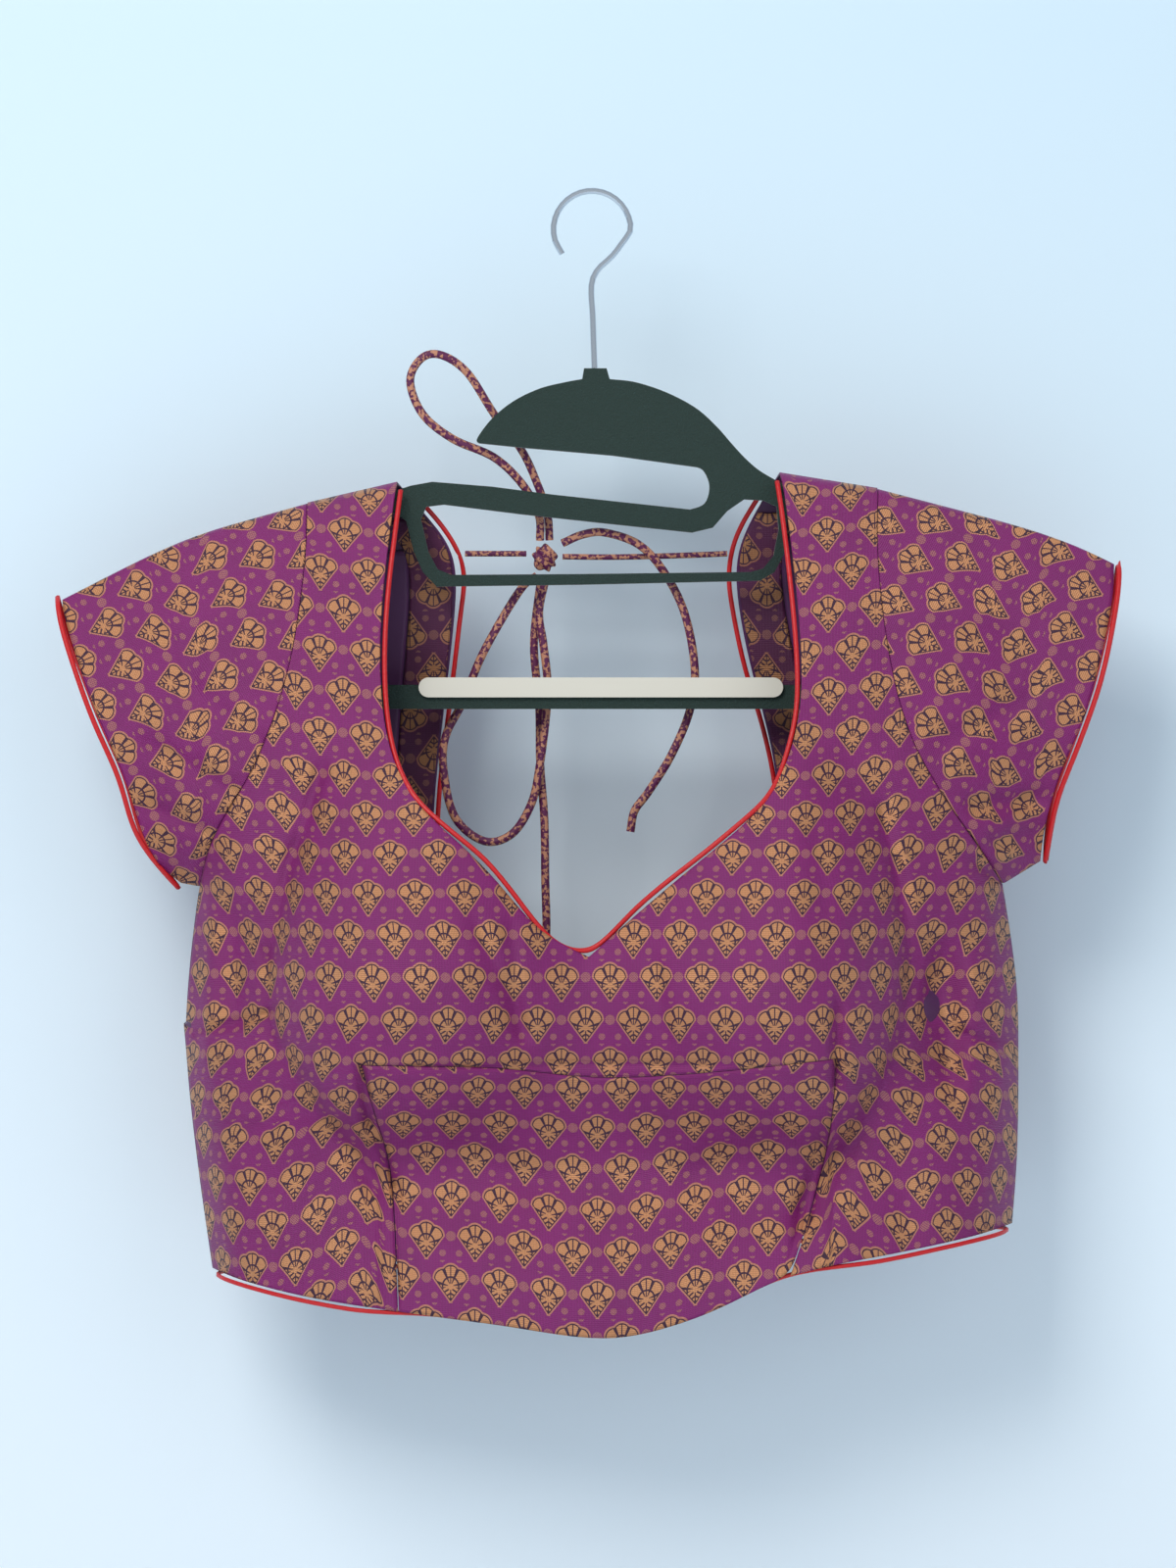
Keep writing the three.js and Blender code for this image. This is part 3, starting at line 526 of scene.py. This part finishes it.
# %% tie cords
ROUTES = {
    "tie_taut_left": [(-61.2, 12, -172), (-45, 12.5, -172), (-31.6, 13, -172)],
    "tie_taut_right": [(65.2, 12, -172), (45, 12.5, -172.8), (12, 13, -173.6), (-14.2, 13, -173.4)],
    "tie_upper_loop": [
        (-25, 11, -165.5), (-25.5, 8, -154), (-33, 7, -139.5), (-47, 7, -126), (-67, 7, -117),
        (-81.5, 8, -105), (-87.5, 9, -89), (-82, 10, -78), (-72.5, 10, -76.5), (-60, 10, -85),
        (-47, 11, -105), (-34, 11.5, -122), (-26.5, 12, -138), (-21.5, 12.5, -153),
        (-20.5, 13.5, -165.5),
    ],
    "tie_lower_loop": [
        (-26.5, 13.5, -182.5), (-35, 13, -190), (-52, 12, -219), (-62, 12, -243),
        (-70.5, 12, -260), (-71.5, 12, -276.5), (-66, 12, -299), (-52, 12, -310.5),
        (-38.5, 12, -307), (-29, 12, -292), (-25, 12, -273), (-22, 12, -249),
        (-21.5, 12, -233), (-23.5, 12, -215), (-25.5, 12.5, -200), (-22, 13.5, -182.5),
    ],
    "tie_right_tail": [
        (-14.2, 10.5, -167), (-4.5, 8.5, -163), (6, 8, -162), (22, 8, -167.5), (34, 8, -180),
        (44.5, 10, -200.5), (49.5, 10, -227.5), (47, 10, -248), (38, 10, -269.5),
        (27, 10, -287), (20.5, 10, -296), (18.5, 10, -306),
    ],
    "tie_long_tail": [
        (-24.5, 17.5, -182.5), (-28, 18, -215), (-25.5, 18, -245), (-25, 17, -273),
        (-23, 16, -300), (-22.5, 14, -330), (-22, 12, -356), (-24, 11, -392),
    ],
}
FREE_DIAMETER = 4.0
TAUT_DIAMETER = 2.8


def smooth_path(points, per_span=8):
    """A Catmull-Rom line through points, in metres."""
    p = [Vector(q) * MM for q in points]
    p = [p[0] * 2 - p[1], *p, p[-1] * 2 - p[-2]]
    line = []
    for a, b, c, d in zip(p, p[1:], p[2:], p[3:]):
        for k in range(per_span):
            t = k / per_span
            line.append(
                0.5 * (2 * b + (c - a) * t + (2 * a - 5 * b + 4 * c - d) * t**2
                       + (3 * b - 3 * c + d - a) * t**3)
            )
    return [*line, p[-2]]


def round_line(name, path, diameter, material):
    curve = bpy.data.curves.new(name, "CURVE")
    curve.dimensions = "3D"
    line = curve.splines.new("POLY")
    line.points.add(len(path) - 1)
    for point, place in zip(line.points, path):
        point.co = (*place, 1)
    curve.bevel_depth = diameter / 2
    curve.bevel_resolution = 4
    curve.use_fill_caps = True
    curve.materials.append(material)
    piece = bpy.data.objects.new(name, curve)
    bpy.context.scene.collection.objects.link(piece)
    return piece


for name, points in ROUTES.items():
    taut = "taut" in name
    diameter = (TAUT_DIAMETER if taut else FREE_DIAMETER) * MM
    path = smooth_path(points)
    length = sum((b - a).length for a, b in zip(path, path[1:]))
    piece = round_line(name + "_cord", path, diameter, CORD)
    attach(piece, "root")
    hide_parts(name)
    print(name, "is", round(length / MM), "mm long")

knot = fine_copy("tie_knot", 2)
at = places(knot)
middle = at.mean(axis=0)
swirl = np.sin((at[:, 0] + at[:, 2] - middle[0] - middle[2]) / MM * 1.2)
at = middle + (at - middle) * (1 + 0.12 * swirl[:, None])
knot.data.vertices.foreach_set("co", at.ravel())
knot.data.materials.append(CORD)
hand_in(knot, "tie_knot")

# %% [markdown]
# ## Hanger

# %% hanger
for name, material, slot in (
    ("hanger_body", FLOCK, "flock"),
    ("grip_strip", GRIP, "grip"),
    ("hanger_hook", STEEL, "steel"),
):
    nodes[name].data.materials.clear()
    nodes[name].data.materials.append(material)

# %% [markdown]
# ## Studio

# %% studio
WALL_Y = 0.085
FRAME_HEIGHT = 0.752
DISTANCE = 2.5
MIDDLE = Vector((-0.0019, 0, -0.283))


def backdrop():
    mesh = bpy.data.meshes.new("backdrop")
    corners = [(-3, WALL_Y, -0.8), (3, WALL_Y, -0.8), (3, WALL_Y, 2), (-3, WALL_Y, 2)]
    mesh.from_pydata(corners, [], [(0, 1, 2, 3)])
    wall = bpy.data.objects.new("backdrop", mesh)
    material, tree, shader = new_material("pale wall")
    place = tree.nodes.new("ShaderNodeNewGeometry").outputs["Position"]
    apart = tree.nodes.new("ShaderNodeSeparateXYZ")
    tree.links.new(place, apart.inputs[0])
    rise = (Value(tree, apart.outputs[2]) + 0.66) / 0.75
    rise = rise.maths("MAXIMUM", 0.0).maths("MINIMUM", 1.0)
    colour = blend_colour(tree, rise, (0.84, 0.93, 1.0), (0.66, 0.82, 0.93))
    tree.links.new(colour, shader.inputs["Base Color"])
    shader.inputs["Roughness"].default_value = 0.9
    mesh.materials.append(material)
    bpy.context.scene.collection.objects.link(wall)
    floor_mesh = bpy.data.meshes.new("floor")
    edge = [(-3, WALL_Y, -0.8), (-3, -3, -0.8), (3, -3, -0.8), (3, WALL_Y, -0.8)]
    floor_mesh.from_pydata(edge, [], [(0, 1, 2, 3)])
    floor_mesh.materials.append(plain("pale floor", (0.85, 0.92, 0.97), 0.9))
    floor = bpy.data.objects.new("floor", floor_mesh)
    bpy.context.scene.collection.objects.link(floor)


def soft_light(name, place, power, size, colour=(1, 1, 1)):
    data = bpy.data.lights.new(name, "AREA")
    data.energy, data.size, data.color = power, size, colour
    lamp = bpy.data.objects.new(name, data)
    lamp.location = place
    lamp.rotation_euler = (MIDDLE - Vector(place)).to_track_quat("-Z", "Y").to_euler()
    bpy.context.scene.collection.objects.link(lamp)


backdrop()
soft_light("key", (-0.7, -1.6, 0.9), 24, 0.9, (1, 0.97, 0.93))
soft_light("fill", (1.3, -1.8, 0.1), 5, 1.4, (0.93, 0.96, 1))
world = bpy.data.worlds.new("studio")
world.use_nodes = True
world.node_tree.nodes["Background"].inputs[0].default_value = (0.86, 0.93, 1, 1)
world.node_tree.nodes["Background"].inputs[1].default_value = 0.5
bpy.context.scene.world = world
bpy.context.scene.view_settings.view_transform = "Standard"

camera_data = bpy.data.cameras.new("camera")
camera_data.sensor_width = 36
camera_data.lens = 36 * DISTANCE / FRAME_HEIGHT
camera = bpy.data.objects.new("camera", camera_data)
camera.location = MIDDLE + Vector((0, -DISTANCE, 0))
camera.rotation_euler = (math.pi / 2, 0, 0)
bpy.context.scene.collection.objects.link(camera)
bpy.context.scene.camera = camera
